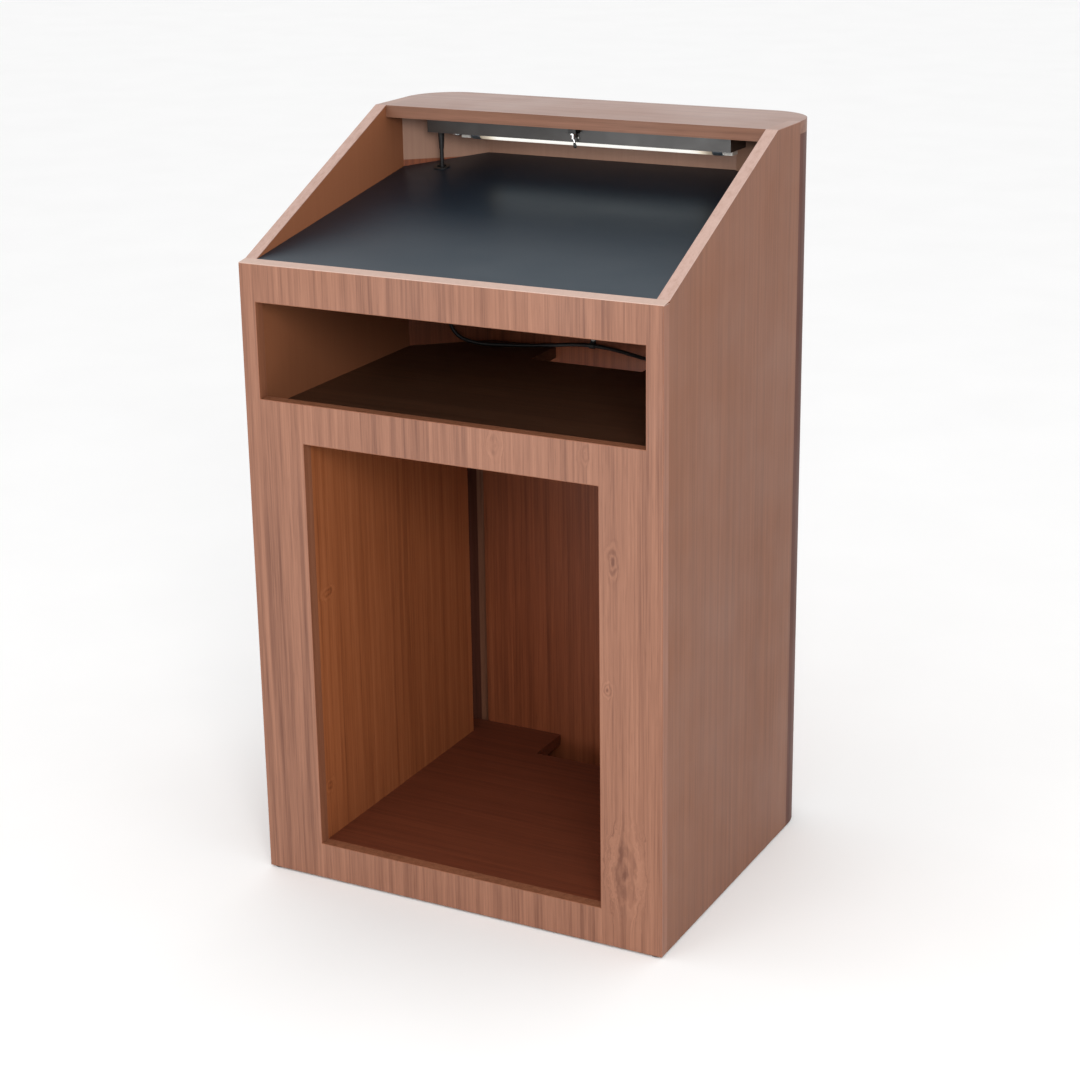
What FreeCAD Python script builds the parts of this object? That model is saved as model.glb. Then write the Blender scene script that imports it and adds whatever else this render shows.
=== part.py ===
import FreeCAD, Part
import math
import os

# Floor lectern with an open equipment bay, a document shelf and a lit, sloped reading desk.
# Millimetres. The origin is on the floor under the middle of the footprint, +Z is up,
# -Y is the speaker's side, +Y the audience side and +X the speaker's right hand.

# ---- driving dimensions ------------------------------------------------------------------
WIDTH = 692.0
DEPTH = 584.0
HEIGHT = 1170.0
GLIDE_H = 3.0
BOARD = 19.0
BAND = 1.0
FRONT_TOP_Z = 991.0
SIDE_DEPTH = 493.0
SLOPE_TOP_Y = 402.0
CORNER_R = 78.0

SHELF_WINDOW_MARGIN = 26.4
SHELF_WINDOW_Z = (784.0, 933.0)
BAY_WINDOW_MARGIN = 100.0
BAY_WINDOW_Z = (62.0, 722.0)

SHELF_TOP_Z = 763.0
DECK_TOP_Z = 62.0
PARTITION_DEPTH = 495.0
CABLE_NOTCH_W = 200.0
CABLE_NOTCH_D = 90.0
DESK_STEP = 0.6
DESK_RISE = 0.164
LAMINATE = 1.0
LINER_BOARD = 12.0
LINER_INNER_X = 220.0
LINER_RUN_Y = 94.0

DOWEL_R = 4.0
DOWEL_L = 30.0
SPLINE_T = 6.0
SPLINE_W = 16.0
CLEAT = 19.0
CLEAT_H = 25.0

LAMP_LEFT_X = -272.0
LAMP_LENGTH = 528.0
LAMP_FRONT_Y = 146.0
LAMP_DEPTH = 60.0
LAMP_HEIGHT = 26.0
LAMP_SHEET = 0.8
TUBE_R = 12.7
TUBE_LENGTH = 437.0
TUBE_RIGHT_X = 236.6
TUBE_Z = 1128.1
CORD_D = 6.5

# ---- derived places ----------------------------------------------------------------------
half = WIDTH / 2
front = -DEPTH / 2
back = DEPTH / 2
frame_back = front + BOARD
side_in = half - BOARD
side_end = front + SIDE_DEPTH
slope_top = front + SLOPE_TOP_Y
top_under = HEIGHT - BOARD
audience_in = back - BOARD
liner_face = audience_in - BOARD
corner_cx = half - CORNER_R
corner_cy = back - CORNER_R
bay_x = half - BAY_WINDOW_MARGIN
shelf_under = SHELF_TOP_Z - BOARD
deck_under = DECK_TOP_Z - BOARD
partition_end = front + PARTITION_DEPTH
notch_front = liner_face - CABLE_NOTCH_D
corner_foot_y = liner_face - LINER_RUN_Y
frame_rear_top = FRONT_TOP_Z + BOARD * DESK_RISE
slope = (HEIGHT - frame_rear_top) / (SLOPE_TOP_Y - BOARD)
side_edge = half - BOARD / 2
liner_edge_x = 244.0

lamp_right = LAMP_LEFT_X + LAMP_LENGTH
lamp_rear = LAMP_FRONT_Y + LAMP_DEPTH
lamp_low = top_under - LAMP_HEIGHT
tube_left = TUBE_RIGHT_X - TUBE_LENGTH
tube_y = LAMP_FRONT_Y + 24.0

os.makedirs("parts", exist_ok=True)


# ---- helpers -----------------------------------------------------------------------------
def vec(x, y, z):
    return FreeCAD.Vector(x, y, z)


X = vec(1, 0, 0)
Y = vec(0, 1, 0)
Z = vec(0, 0, 1)


def box(x0, x1, y0, y1, z0, z1):
    return Part.makeBox(x1 - x0, y1 - y0, z1 - z0, vec(x0, y0, z0))


def rod(centre, direction, radius, length):
    return Part.makeCylinder(radius, length, centre, direction)


def ring(centre, direction, outer, inner, length):
    return rod(centre, direction, outer, length).cut(rod(centre, direction, inner, length))


def face_of(points):
    return Part.Face(Part.makePolygon(points + points[:1]))


def plan(points, z0, z1):
    """A board seen from above, as (x, y) corners, from z0 up to z1."""
    return face_of([vec(x, y, z0) for x, y in points]).extrude(vec(0, 0, z1 - z0))


def profile(points, x0, x1):
    """A board seen from the side, as (y, z) corners, from x0 to x1."""
    return face_of([vec(x0, y, z) for y, z in points]).extrude(vec(x1 - x0, 0, 0))


def cut_all(shape, tools):
    for tool in tools:
        shape = shape.cut(tool)
    return shape


def fuse_all(shapes):
    whole = shapes[0]
    for shape in shapes[1:]:
        whole = whole.fuse(shape)
    return whole.removeSplitter()


def mirrored(shape):
    return shape.mirror(vec(0, 0, 0), X)


nodes = {}


def add(name, shapes):
    """Keep one node: a single solid, or a group of separate like solids."""
    nodes[name] = shapes if isinstance(shapes, list) else [shapes]


def drill(name, tools):
    """Cut holes in a node that is already kept."""
    nodes[name] = [cut_all(shape, tools) for shape in nodes[name]]


def write_nodes():
    for name, group in nodes.items():
        solids = [solid for shape in group for solid in shape.Solids]
        whole = solids[0] if len(solids) == 1 else Part.makeCompound(solids)
        state = "" if all(solid.isValid() for solid in solids) else "INVALID"
        whole.exportStep("parts/" + name + ".step")
        print(name, len(solids), "solids", round(whole.Volume, 1), "mm3", state)


def desk_z(y):
    return frame_rear_top - DESK_STEP + (y - frame_back) * DESK_RISE


def slope_z(y):
    return frame_rear_top + (y - frame_back) * slope


# ---- fasteners: each one is also the tool that cuts its own hole ---------------------------
def dowel(centre, direction):
    start = centre - direction * (DOWEL_L / 2)
    pin = rod(start, direction, DOWEL_R, DOWEL_L)
    rims = [edge for edge in pin.Edges if edge.Curve.TypeId == "Part::GeomCircle"]
    return pin.makeChamfer(0.8, rims)


def wood_screw(head_face, direction, head_r, shank_r, length):
    """A countersunk screw whose flat head lies in head_face."""
    sink = head_r - shank_r
    head = Part.makeCone(head_r, shank_r, sink, head_face, direction)
    shank = rod(head_face + direction * sink, direction, shank_r, length - sink - shank_r * 2)
    tip = Part.makeCone(shank_r, 0.3, shank_r * 2, head_face + direction * (length - shank_r * 2), direction)
    return fuse_all([head, shank, tip])


def cross_slot(head_face, direction, size):
    """The cross recess of a screw head, as a tool."""
    depth = size * 0.45
    arm = Part.makeBox(size, size * 0.25, depth, vec(-size / 2, -size * 0.125, 0))
    cross = arm.fuse(arm.rotated(vec(0, 0, 0), Z, 90))
    cross.Placement = FreeCAD.Placement(head_face, FreeCAD.Rotation(Z, direction))
    return cross


def spread(low, high, count):
    return [low + (high - low) * i / (count - 1) for i in range(count)]


frame_dowels = []
for dowel_z in spread(70.0, 940.0, 6):
    frame_dowels.append(dowel(vec(side_edge, frame_back + 4.0, dowel_z), Y))
frame_dowels += [mirrored(pin) for pin in frame_dowels]

partition_dowels = []
for dowel_y in (-200.0, 120.0):
    for dowel_z in (DECK_TOP_Z, shelf_under):
        partition_dowels.append(dowel(vec(bay_x + BOARD / 2, dowel_y, dowel_z), Z))
partition_dowels += [mirrored(pin) for pin in partition_dowels]

top_side_dowels = [dowel(vec(side_in - 4.0, y, HEIGHT - BOARD / 2), X) for y in (132.0, 184.0)]
top_side_dowels += [mirrored(pin) for pin in top_side_dowels]
top_back_dowels = [dowel(vec(x, back - BOARD / 2, top_under - 4.0), Z) for x in (-180.0, 0.0, 180.0)]
all_dowels = frame_dowels + partition_dowels + top_side_dowels + top_back_dowels


# ---- face frame ----------------------------------------------------------------------------
def window(margin, heights, grow):
    x = half - margin + grow
    return box(-x, x, front, frame_back, heights[0] - grow, heights[1] + grow)


shelf_window = (SHELF_WINDOW_MARGIN, SHELF_WINDOW_Z)
bay_window = (BAY_WINDOW_MARGIN, BAY_WINDOW_Z)
face_frame = profile([(front, GLIDE_H), (frame_back, GLIDE_H), (frame_back, frame_rear_top - BAND),
                      (front, FRONT_TOP_Z - BAND)], -half + BAND, half - BAND)
for margin, heights in (shelf_window, bay_window):
    face_frame = face_frame.cut(window(margin, heights, BAND))
face_frame = cut_all(face_frame, frame_dowels)
add("face_frame", face_frame)

frame_banding = [box(half - BAND, half, front, frame_back, GLIDE_H, FRONT_TOP_Z - BAND)]
frame_banding.append(mirrored(frame_banding[0]))
frame_banding.append(profile([(front, FRONT_TOP_Z - BAND), (frame_back, frame_rear_top - BAND),
                              (frame_back, frame_rear_top), (front, FRONT_TOP_Z)], -half, half))
frame_banding[0] = frame_banding[0].cut(frame_banding[2])
frame_banding[1] = frame_banding[1].cut(frame_banding[2])
for margin, heights in (shelf_window, bay_window):
    frame_banding.append(window(margin, heights, BAND).cut(window(margin, heights, 0.0)))
add("frame_edge_banding", frame_banding)


# ---- side panels ----------------------------------------------------------------------------
def side_profile(drop):
    """The side's outline; drop lowers its sloped and top edges, square to each."""
    fall = drop * math.sqrt(1 + slope * slope)
    knee_y = slope_top + (fall - drop) / slope
    return profile([(frame_back, GLIDE_H), (side_end, GLIDE_H), (side_end, HEIGHT - drop),
                    (knee_y, HEIGHT - drop), (frame_back, slope_z(frame_back) - fall)],
                   side_in, half)


side_blank = side_profile(BAND)
side_band = side_profile(0.0).cut(side_blank)

# ---- rounded corner posts and the splines that key them in ------------------------------------

def corner_block(radius, reach, z0, z1):
    """A plan region filling the right rear corner out to an arc of this radius."""
    x = corner_cx + radius
    y = corner_cy + radius
    arc = Part.Arc(vec(x, corner_cy, z0),
                   vec(corner_cx + radius * math.cos(math.pi / 4), corner_cy + radius * math.sin(math.pi / 4), z0),
                   vec(corner_cx, y, z0)).toShape()
    corners = [vec(corner_cx, y, z0), vec(corner_cx - reach, y, z0), vec(corner_cx - reach, side_end - reach, z0),
               vec(x, side_end - reach, z0), vec(x, corner_cy, z0)]
    lines = [Part.makeLine(a, b) for a, b in zip(corners, corners[1:]) if (a - b).Length > 1e-6]
    return Part.Face(Part.Wire([arc] + lines)).extrude(vec(0, 0, z1 - z0))


post = corner_block(CORNER_R, 0.0, GLIDE_H, top_under)
post = post.cut(corner_block(CORNER_R - BOARD, 5.0, GLIDE_H, top_under))
spline_half = SPLINE_W / 2
splines = [box(side_edge - SPLINE_T / 2, side_edge + SPLINE_T / 2,
               side_end - spline_half, side_end + spline_half, 40.0, 1120.0),
           box(corner_cx - spline_half, corner_cx + spline_half,
               back - BOARD / 2 - SPLINE_T / 2, back - BOARD / 2 + SPLINE_T / 2, 40.0, 1120.0)]
splines += [mirrored(strip) for strip in splines]
right_post = cut_all(post, splines)
add("right_corner_post", right_post)
add("left_corner_post", cut_all(mirrored(post), splines))
add("corner_splines", splines)

audience_panel = box(-corner_cx, corner_cx, audience_in, back, GLIDE_H, top_under)

# ---- cleats, their screws ----------------------------------------------------------------------
desk_cleat_end = corner_foot_y - 12.0


def sloped_cleat(x0, x1, y0, y1):
    top = [(y, desk_z(y) - BOARD) for y in (y1, y0)]
    return profile([(y0, desk_z(y0) - BOARD - CLEAT_H),
                    (y1, desk_z(y1) - BOARD - CLEAT_H)] + top, x0, x1)


desk_side_cleat = sloped_cleat(side_in - CLEAT, side_in, frame_back, desk_cleat_end)
desk_rear_cleat = sloped_cleat(-200.0, 200.0, liner_face - CLEAT, liner_face)
shelf_cleat = box(side_in - CLEAT, side_in, frame_back, partition_end, shelf_under - CLEAT_H, shelf_under)

cleat_inner_x = side_in - CLEAT
cleat_screws = []
cleat_screw_slots = []
for screw_y in (-240.0, -70.0, 110.0):
    for screw_z in (desk_z(screw_y) - BOARD - CLEAT_H / 2, shelf_under - CLEAT_H / 2):
        for sign in (1, -1):
            head_face = vec(sign * cleat_inner_x, screw_y, screw_z)
            cleat_screws.append(wood_screw(head_face, X * sign, 4.0, 2.0, 32.0))
            cleat_screw_slots.append(cross_slot(head_face, X * sign, 4.6))
for screw_x in (-160.0, 0.0, 160.0):
    head_face = vec(screw_x, liner_face - CLEAT, desk_z(liner_face) - BOARD - 15.0)
    cleat_screws.append(wood_screw(head_face, Y, 4.0, 2.0, 32.0))
    cleat_screw_slots.append(cross_slot(head_face, Y, 4.6))
add("cleat_screws", [screw.cut(slot) for screw, slot in zip(cleat_screws, cleat_screw_slots)])

desk_cleats = [desk_side_cleat, mirrored(desk_side_cleat), desk_rear_cleat]
add("desk_cleats", [cut_all(cleat, cleat_screws) for cleat in desk_cleats])
add("shelf_cleats", [cut_all(cleat, cleat_screws) for cleat in (shelf_cleat, mirrored(shelf_cleat))])

side_tools = frame_dowels + top_side_dowels + splines + cleat_screws
add("right_side_panel", cut_all(side_blank, side_tools))
add("left_side_panel", cut_all(mirrored(side_blank), side_tools))
add("side_edge_banding", [side_band, mirrored(side_band)])
add("audience_panel", cut_all(audience_panel, splines + top_back_dowels))

# ---- cord clip and its screw, on the back liner --------------------------------------------------
CLIP_X = -30.0
CLIP_Z = 773.0
CLIP_WIDTH = 9.0
CLIP_WALL = 1.3
clip_bore = CORD_D / 2 + 0.45
clip_outer = clip_bore + CLIP_WALL
clip_y = liner_face - clip_outer
clip_screw_z = CLIP_Z + clip_outer + 5.0
clip_ring = ring(vec(CLIP_X - CLIP_WIDTH / 2, clip_y, CLIP_Z), X, clip_outer, clip_bore, CLIP_WIDTH)
clip_tab = box(CLIP_X - CLIP_WIDTH / 2, CLIP_X + CLIP_WIDTH / 2, liner_face - 2.0, liner_face,
               CLIP_Z, clip_screw_z + 5.5)
clip_tab = clip_tab.cut(rod(vec(CLIP_X - CLIP_WIDTH, clip_y, CLIP_Z), X, clip_bore, CLIP_WIDTH * 2))
clip_screw_face = vec(CLIP_X, liner_face - 2.0, clip_screw_z)
clip_screw = wood_screw(clip_screw_face, Y, 3.2, 1.5, 16.0)
add("cord_clip", fuse_all([clip_ring, clip_tab]).cut(clip_screw))
add("cord_clip_screw", clip_screw.cut(cross_slot(clip_screw_face, Y, 3.6)))

back_liner = box(-liner_edge_x, liner_edge_x, liner_face, audience_in, GLIDE_H, top_under)
add("back_liner", cut_all(back_liner, cleat_screws + [clip_screw]))


# ---- diagonal corner liners, above the shelf -------------------------------------------------------
def diagonal(offset):
    """Ends (x, y) of the right corner liner's face, moved outward by offset."""
    run_x = side_in - LINER_INNER_X
    length = math.hypot(run_x, LINER_RUN_Y)
    return ((side_in, corner_foot_y + offset * length / run_x),
            (LINER_INNER_X + offset * length / LINER_RUN_Y, liner_face))


inner_face = diagonal(0.0)
outer_face = diagonal(LINER_BOARD)
corner_liner = plan([inner_face[0], inner_face[1], outer_face[1], outer_face[0]], SHELF_TOP_Z, top_under)
add("right_corner_liner", corner_liner)
add("left_corner_liner", mirrored(corner_liner))

# ---- top panel ---------------------------------------------------------------------------------------


def top_outline(inset, z0, z1):
    """A tongue between the sides that widens behind them to the rounded rear corners."""
    wide = half - inset
    rear = back - inset
    diagonal_r = (CORNER_R - inset) * math.cos(math.pi / 4)
    right = [vec(side_in, slope_top + inset, z0), vec(side_in, side_end, z0),
             vec(wide, side_end, z0), vec(wide, corner_cy, z0)]
    left = [vec(-point.x, point.y, z0) for point in reversed(right)]
    arcs = [Part.Arc(right[-1], vec(corner_cx + diagonal_r, corner_cy + diagonal_r, z0),
                     vec(corner_cx, rear, z0)),
            Part.Arc(vec(-corner_cx, rear, z0), vec(-corner_cx - diagonal_r, corner_cy + diagonal_r, z0),
                     left[0])]
    edges = [Part.makeLine(a, b) for a, b in zip(right, right[1:])]
    edges += [arcs[0].toShape(), Part.makeLine(vec(corner_cx, rear, z0), vec(-corner_cx, rear, z0))]
    edges += [arcs[1].toShape()] + [Part.makeLine(a, b) for a, b in zip(left, left[1:])]
    edges.append(Part.makeLine(left[-1], right[0]))
    return Part.Face(Part.Wire(edges)).extrude(vec(0, 0, z1 - z0))


top_core = top_outline(BAND, top_under, HEIGHT)
top_band = top_outline(0.0, top_under, HEIGHT).cut(top_core)
top_tools = top_side_dowels + top_back_dowels

# ---- reading desk ----------------------------------------------------------------------------------
DESK_GAP = 0.5
GROMMET_X = -260.8
GROMMET_Y = 169.6
desk_corners = [(-side_in + DESK_GAP, frame_back), (side_in - DESK_GAP, frame_back)]
gap_face = diagonal(-DESK_GAP)
desk_corners += [(side_in - DESK_GAP, gap_face[0][1]), (gap_face[1][0], liner_face - DESK_GAP)]
desk_corners += [(-gap_face[1][0], liner_face - DESK_GAP), (-side_in + DESK_GAP, gap_face[0][1])]
desk_plan = plan(desk_corners, 900.0, 1140.0)


def desk_slab(drop_top, drop_bottom):
    tilted = profile([(frame_back, desk_z(frame_back) - drop_bottom), (liner_face, desk_z(liner_face) - drop_bottom),
                      (liner_face, desk_z(liner_face) - drop_top), (frame_back, desk_z(frame_back) - drop_top)],
                     -side_in, side_in)
    return tilted.common(desk_plan)


desk_normal = vec(0, -DESK_RISE, 1).normalize()
grommet_face = vec(GROMMET_X, GROMMET_Y, desk_z(GROMMET_Y))


def along_normal(radius, start, end):
    return rod(grommet_face + desk_normal * start, desk_normal, radius, end - start)


desk_front_strip = box(-side_in + DESK_GAP, side_in - DESK_GAP, frame_back, frame_back + LAMINATE,
                       desk_z(frame_back) - BOARD - 2.0, desk_z(frame_back) + 2.0)
laminate = fuse_all([desk_slab(0.0, LAMINATE), desk_slab(0.0, BOARD).common(desk_front_strip)])
desk_board = desk_slab(LAMINATE, BOARD).cut(desk_front_strip)
grommet_hole = along_normal(10.0, -40.0, 20.0)
add("reading_desk", desk_board.cut(grommet_hole))
add("desk_laminate", laminate.cut(grommet_hole))

grommet = fuse_all([along_normal(10.0, -22.0, 0.0), along_normal(13.5, 0.0, 1.6), along_normal(11.0, -22.0, -20.5)])
grommet = grommet.cut(along_normal(7.8, -40.0, 20.0))
add("desk_grommet", grommet)

# ---- shelf, bay and base -----------------------------------------------------------------------------
notch_half = CABLE_NOTCH_W / 2


def notched_board(z0, z1):
    """A board between the sides, clear of the round posts, with the cable notch at the back."""
    clear_x = corner_cx + 32.0
    corners = [(side_in, frame_back), (side_in, corner_cy), (clear_x, liner_face)]
    corners += [(-x, y) for x, y in reversed(corners)]
    board = plan(corners, z0, z1)
    return board.cut(box(-notch_half, notch_half, notch_front, liner_face, z0, z1))


add("shelf", cut_all(notched_board(shelf_under, SHELF_TOP_Z), partition_dowels))
add("bay_deck", cut_all(notched_board(deck_under, DECK_TOP_Z), partition_dowels))
partition = box(bay_x, bay_x + BOARD, frame_back, partition_end, DECK_TOP_Z, shelf_under)
add("right_bay_partition", cut_all(partition, partition_dowels))
add("left_bay_partition", cut_all(mirrored(partition), partition_dowels))

runners = []
for runner_y in (frame_back, -60.0, 120.0):
    runners.append(box(-side_in, side_in, runner_y, runner_y + BOARD, GLIDE_H, deck_under))
add("base_runners", runners)

GLIDE_R = 11.0
glide_spots = [(x, y) for x in (-side_edge + 3.0, side_edge - 3.0) for y in (front + 12.5, -20.0, side_end - 14.0)]
glide_spots += [(x, audience_in + 7.0) for x in (-200.0, 200.0)]
glides = []
nails = []
for glide_x, glide_y in glide_spots:
    disc = rod(vec(glide_x, glide_y, 0.0), Z, GLIDE_R, GLIDE_H)
    rim = [edge for edge in disc.Edges if edge.Curve.TypeId == "Part::GeomCircle" and edge.BoundBox.ZMax < 0.1]
    disc = disc.makeFillet(1.2, rim)
    nail = fuse_all([rod(vec(glide_x, glide_y, 1.0), Z, 3.0, 1.0), rod(vec(glide_x, glide_y, 2.0), Z, 1.0, 14.0)])
    well = rod(vec(glide_x, glide_y, 0.0), Z, 3.0, 1.0)
    glides.append(disc.cut(nail).cut(well))
    nails.append(nail)
add("floor_glides", glides)
add("glide_nails", nails)

for name in ("face_frame", "left_side_panel", "right_side_panel", "audience_panel"):
    drill(name, nails)
add("assembly_dowels", all_dowels)

# ---- lamp: housing, ends, reflector ---------------------------------------------------------------------
inner_front = LAMP_FRONT_Y + LAMP_SHEET
inner_rear = lamp_rear - LAMP_SHEET
inner_top = top_under - LAMP_SHEET
CAP_T = 2.5
HOLDER_T = 16.0
HOLDER_GAP = 0.4
compartment_right = tube_left - HOLDER_GAP - HOLDER_T - 2.0

lamp_screw_y = lamp_rear - 8.0
lamp_screw_spots = [(-150.0, lamp_screw_y), (150.0, lamp_screw_y)]
lamp_screws = []
lamp_screw_slots = []
for screw_x, screw_y in lamp_screw_spots:
    seat = vec(screw_x, screw_y, inner_top - 2.0)
    head = Part.makeCone(2.2, 3.6, 2.0, seat, Z)
    shank = rod(vec(screw_x, screw_y, inner_top), Z, 1.8, 11.0)
    tip = Part.makeCone(1.8, 0.3, 3.0, vec(screw_x, screw_y, inner_top + 11.0), Z)
    lamp_screws.append(fuse_all([head, shank, tip]))
    lamp_screw_slots.append(cross_slot(seat, Z, 3.4))
add("lamp_screws", [screw.cut(slot) for screw, slot in zip(lamp_screws, lamp_screw_slots)])
add("top_panel", cut_all(top_core, top_tools + lamp_screws))
add("top_edge_banding", top_band)

housing = box(LAMP_LEFT_X, lamp_right, LAMP_FRONT_Y, lamp_rear, lamp_low, top_under)
housing = housing.cut(box(LAMP_LEFT_X, lamp_right, inner_front, inner_rear, lamp_low, inner_top))

# ---- switch: bracket on the front skirt, body, bushing, nut and lever --------------------------------------
SWITCH_X = -6.0
switch_y = LAMP_FRONT_Y - 7.5
TAB_Z = 1141.0
TAB_T = 0.8
bracket = fuse_all([box(SWITCH_X - 8, SWITCH_X + 8, LAMP_FRONT_Y - 0.8, LAMP_FRONT_Y, TAB_Z - 13, TAB_Z),
                    box(SWITCH_X - 8, SWITCH_X + 8, LAMP_FRONT_Y - 14, LAMP_FRONT_Y, TAB_Z - TAB_T, TAB_Z)])
rivet_z = TAB_Z - 9.0
rivets = []
for rivet_x in (SWITCH_X - 5.5, SWITCH_X + 5.5):
    centre = vec(rivet_x, LAMP_FRONT_Y - 0.8, rivet_z)
    stem = rod(centre, Y, 1.2, 1.6)
    dome = Part.makeSphere(2.2, vec(rivet_x, LAMP_FRONT_Y + 0.2, rivet_z))
    dome = dome.common(box(rivet_x - 3, rivet_x + 3, LAMP_FRONT_Y - 3, LAMP_FRONT_Y - 0.8, rivet_z - 3, rivet_z + 3))
    rivets.append(fuse_all([stem, dome]))
bushing_hole = rod(vec(SWITCH_X, switch_y, TAB_Z - TAB_T), Z, 3.2, TAB_T)
add("switch_bracket", cut_all(bracket.cut(bushing_hole), rivets))
add("bracket_rivets", rivets)

add("lamp_housing", cut_all(housing, rivets + lamp_screws))
end_caps = [box(LAMP_LEFT_X, LAMP_LEFT_X + CAP_T, inner_front, inner_rear, lamp_low, inner_top),
            box(lamp_right - CAP_T, lamp_right, inner_front, inner_rear, lamp_low, inner_top)]
add("lamp_end_caps", end_caps)

switch_body = box(SWITCH_X - 6.5, SWITCH_X + 6.5, switch_y - 4.5, switch_y + 4.5, TAB_Z, TAB_Z + 8.5)
add("switch_body", switch_body)
PIVOT_Z = 1134.5
BUSHING_LOW = 1131.5
bushing = rod(vec(SWITCH_X, switch_y, BUSHING_LOW), Z, 3.2, TAB_Z - BUSHING_LOW)
for thread_z in spread(BUSHING_LOW + 1.0, TAB_Z - TAB_T - 3.4, 5):
    bushing = bushing.cut(ring(vec(SWITCH_X, switch_y, thread_z), Z, 3.3, 2.85, 0.5))
bushing = bushing.cut(rod(vec(SWITCH_X, switch_y, PIVOT_Z - 2.6), Z, 2.55, 5.4))
bushing = bushing.cut(Part.makeCone(2.9, 2.4, PIVOT_Z - BUSHING_LOW, vec(SWITCH_X, switch_y, BUSHING_LOW), Z))
add("switch_bushing", bushing)
hexagon = [vec(SWITCH_X + 4.6 * math.cos(math.radians(a)), switch_y + 4.6 * math.sin(math.radians(a)),
               TAB_Z - TAB_T - 2.2) for a in range(0, 360, 60)]
nut = face_of(hexagon).extrude(vec(0, 0, 2.2)).cut(rod(vec(SWITCH_X, switch_y, 1130.0), Z, 3.2, 20.0))
add("switch_nut", nut)

LEVER_TILT = 13.0
pivot = vec(SWITCH_X, switch_y, PIVOT_Z)
ball = Part.makeSphere(2.1, pivot)
bat = Part.makeCone(1.1, 1.7, 11.0, pivot, vec(0, 0, -1))
tip = Part.makeCone(1.7, 3.0, 6.0, pivot + vec(0, 0, -9.0), vec(0, 0, -1))
tip = fuse_all([tip, Part.makeSphere(3.0, pivot + vec(0, 0, -15.0))])
lever = fuse_all([ball, bat])
lever_tip = tip.cut(bat)
add("switch_lever", lever.rotated(pivot, Y, -LEVER_TILT))
add("switch_lever_tip", lever_tip.rotated(pivot, Y, -LEVER_TILT))

# ---- tube, holders, reflector ----------------------------------------------------------------------------
CAP_LENGTH = 17.0
PIN_PITCH = 12.7
PIN_R = 1.18
PIN_LENGTH = 7.0
glass = rod(vec(tube_left + 1.0, tube_y, TUBE_Z), X, TUBE_R - 0.5, TUBE_LENGTH - 2.0)
tube_caps = []
pins = []
for end_x, inward in ((tube_left, 1), (TUBE_RIGHT_X, -1)):
    cap = rod(vec(end_x, tube_y, TUBE_Z), X * inward, TUBE_R, CAP_LENGTH)
    rim = [edge for edge in cap.Edges if edge.Curve.TypeId == "Part::GeomCircle"
           and abs(edge.BoundBox.XMin - end_x) < 0.1]
    cap = cap.makeFillet(1.5, rim).cut(glass)
    for side in (-1, 1):
        pin = rod(vec(end_x + inward * 0.9, tube_y + side * PIN_PITCH / 2, TUBE_Z), X * -inward, PIN_R,
                  PIN_LENGTH + 0.9)
        pins.append(pin)
        cap = cap.cut(pin)
    tube_caps.append(cap)
add("fluorescent_tube", glass)
add("tube_caps", tube_caps)
add("tube_pins", pins)

holder_low = TUBE_Z - 9.0


def lampholder(face_x, outward):
    """A tombstone holder whose face meets the tube's end; outward is -1 or 1 along X."""
    x0, x1 = sorted((face_x, face_x + outward * HOLDER_T))
    body = box(x0, x1, tube_y - 10.0, tube_y + 10.0, holder_low + 4.0, inner_top)
    foot = rod(vec(x0, tube_y, TUBE_Z), X, 14.0, HOLDER_T).common(
        box(x0, x1, tube_y - 10.0, tube_y + 10.0, holder_low - 1.0, TUBE_Z))
    body = fuse_all([body, foot])
    groove_depth = PIN_LENGTH + 1.0
    groove = ring(vec(face_x, tube_y, TUBE_Z), X * outward, 7.9, 4.8, groove_depth)
    g0, g1 = sorted((face_x, face_x + outward * groove_depth))
    slot = box(g0, g1, tube_y - 1.6, tube_y + 1.6, holder_low - 2.0, TUBE_Z - 5.0)
    return body.cut(groove).cut(slot)


add("left_lampholder", lampholder(tube_left - HOLDER_GAP, -1))
add("right_lampholder", lampholder(TUBE_RIGHT_X + HOLDER_GAP, 1))

REFLECTOR_T = 0.6
REFLECTOR_HALF_LOW = 18.5
REFLECTOR_HALF_TOP = 15.5
REFLECTOR_LOW_Z = TUBE_Z + 4.0
PAD_T = 1.0


def trough(inset):
    """The reflector's section, open below, as (y, z) corners."""
    top = inner_top - PAD_T - inset
    low_half = REFLECTOR_HALF_LOW - inset
    top_half = REFLECTOR_HALF_TOP - inset
    return [(tube_y - low_half, REFLECTOR_LOW_Z), (tube_y - top_half, top),
            (tube_y + top_half, top), (tube_y + low_half, REFLECTOR_LOW_Z)]


reflector_span = (tube_left + 2.0, TUBE_RIGHT_X - 2.0)
reflector = profile(trough(0.0), *reflector_span).cut(profile(trough(REFLECTOR_T), *reflector_span))
reflector_pads = [box(x - 5, x + 5, tube_y - 7.0, tube_y + 7.0, inner_top - PAD_T, inner_top) for x in (-120.0, 150.0)]
add("lamp_reflector", fuse_all([reflector] + reflector_pads))

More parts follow.
